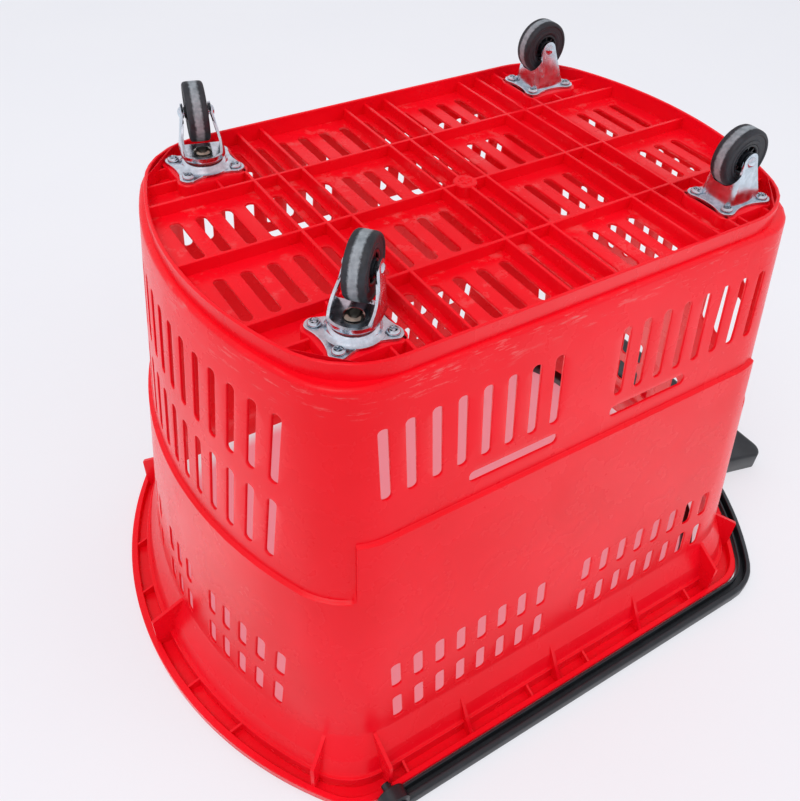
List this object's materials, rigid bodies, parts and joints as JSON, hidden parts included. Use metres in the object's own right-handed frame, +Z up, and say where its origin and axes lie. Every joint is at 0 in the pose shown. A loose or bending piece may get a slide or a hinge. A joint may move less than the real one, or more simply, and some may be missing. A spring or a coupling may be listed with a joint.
{
  "type": "rolling basket trolley",
  "caption": "Deep slotted plastic shopping basket on four small casters, two of them steered, with a long pull handle hinged round its rim and a folding carry handle.",
  "frame": {"origin": "on the floor, under the middle of the bounding box, wheels down", "axes": "+Z up; -X the front, with the steered casters; +X the rear, with the fixed casters and the pull handle's grip"},
  "size_m": [0.668, 0.4816, 0.4468],
  "materials": {
    "red_plastic": "injection-moulded red polypropylene, semi-gloss, scuffed on its lower edges",
    "black_plastic": "satin black moulded plastic",
    "zinc_steel": "bright blue zinc plated pressed steel",
    "plain_steel": "greased, slightly rusted rivet steel",
    "dark_rubber": "dark grey rubber with a paler worn tread",
    "red_seal": "thin dark red dust seal"
  },
  "bodies": {
    "basket": {"basket_body": "red_plastic", "pull_handle_pin_left": "black_plastic", "carry_handle_pin_left": "black_plastic", "pull_handle_pin_right": "black_plastic", "carry_handle_pin_right": "black_plastic", "front_left_screw_1": "zinc_steel", "front_left_screw_2": "zinc_steel", "front_left_screw_3": "zinc_steel", "front_left_screw_4": "zinc_steel", "front_left_plate": "zinc_steel", "front_left_kingpin": "plain_steel", "front_left_seal": "red_seal", "front_right_screw_1": "zinc_steel", "front_right_screw_2": "zinc_steel", "front_right_screw_3": "zinc_steel", "front_right_screw_4": "zinc_steel", "front_right_plate": "zinc_steel", "front_right_kingpin": "plain_steel", "front_right_seal": "red_seal", "rear_left_screw_1": "zinc_steel", "rear_left_screw_2": "zinc_steel", "rear_left_screw_3": "zinc_steel", "rear_left_screw_4": "zinc_steel", "rear_left_bracket": "zinc_steel", "rear_left_bush": "black_plastic", "rear_left_axle": "zinc_steel", "rear_right_screw_1": "zinc_steel", "rear_right_screw_2": "zinc_steel", "rear_right_screw_3": "zinc_steel", "rear_right_screw_4": "zinc_steel", "rear_right_bracket": "zinc_steel", "rear_right_bush": "black_plastic", "rear_right_axle": "zinc_steel"},
    "front_left_swivel": {"front_left_fork": "zinc_steel", "front_left_bush": "black_plastic", "front_left_axle": "zinc_steel"},
    "front_left_wheel": {"front_left_tyre": "dark_rubber", "front_left_hub": "black_plastic"},
    "front_right_swivel": {"front_right_fork": "zinc_steel", "front_right_bush": "black_plastic", "front_right_axle": "zinc_steel"},
    "front_right_wheel": {"front_right_tyre": "dark_rubber", "front_right_hub": "black_plastic"},
    "rear_left_wheel": {"rear_left_tyre": "dark_rubber", "rear_left_hub": "black_plastic"},
    "rear_right_wheel": {"rear_right_tyre": "dark_rubber", "rear_right_hub": "black_plastic"},
    "pull_handle": {"pull_handle": "black_plastic"},
    "carry_handle": {"carry_handle": "black_plastic"}
  },
  "joints": [
    {"name": "front_left_swivel", "type": "hinge", "parent": "basket", "child": "front_left_swivel", "pos_m": [-0.188, -0.111, 0.0443], "axis": [0, 0, 1], "continuous": true},
    {"name": "front_left_roll", "type": "hinge", "parent": "front_left_swivel", "child": "front_left_wheel", "pos_m": [-0.18319, -0.12835, 0.021], "axis": [0.9636, 0.2672, 0], "continuous": true},
    {"name": "front_right_swivel", "type": "hinge", "parent": "basket", "child": "front_right_swivel", "pos_m": [-0.188, 0.111, 0.0443], "axis": [0, 0, 1], "continuous": true},
    {"name": "front_right_roll", "type": "hinge", "parent": "front_right_swivel", "child": "front_right_wheel", "pos_m": [-0.17462, 0.09896, 0.021], "axis": [0.6691, 0.7431, 0], "continuous": true},
    {"name": "rear_left_roll", "type": "hinge", "parent": "basket", "child": "rear_left_wheel", "pos_m": [0.125, -0.111, 0.021], "axis": [0, 1, 0], "continuous": true},
    {"name": "rear_right_roll", "type": "hinge", "parent": "basket", "child": "rear_right_wheel", "pos_m": [0.125, 0.111, 0.021], "axis": [0, 1, 0], "continuous": true},
    {"name": "pull_handle_lift", "type": "hinge", "parent": "basket", "child": "pull_handle", "pos_m": [-0.22, 0, 0.435], "axis": [0, -1, 0], "range_deg": [0, 130]},
    {"name": "carry_handle_lift", "type": "hinge", "parent": "basket", "child": "carry_handle", "pos_m": [0.013, 0, 0.436], "axis": [0, -1, 0], "range_deg": [0, 100]}
  ]
}
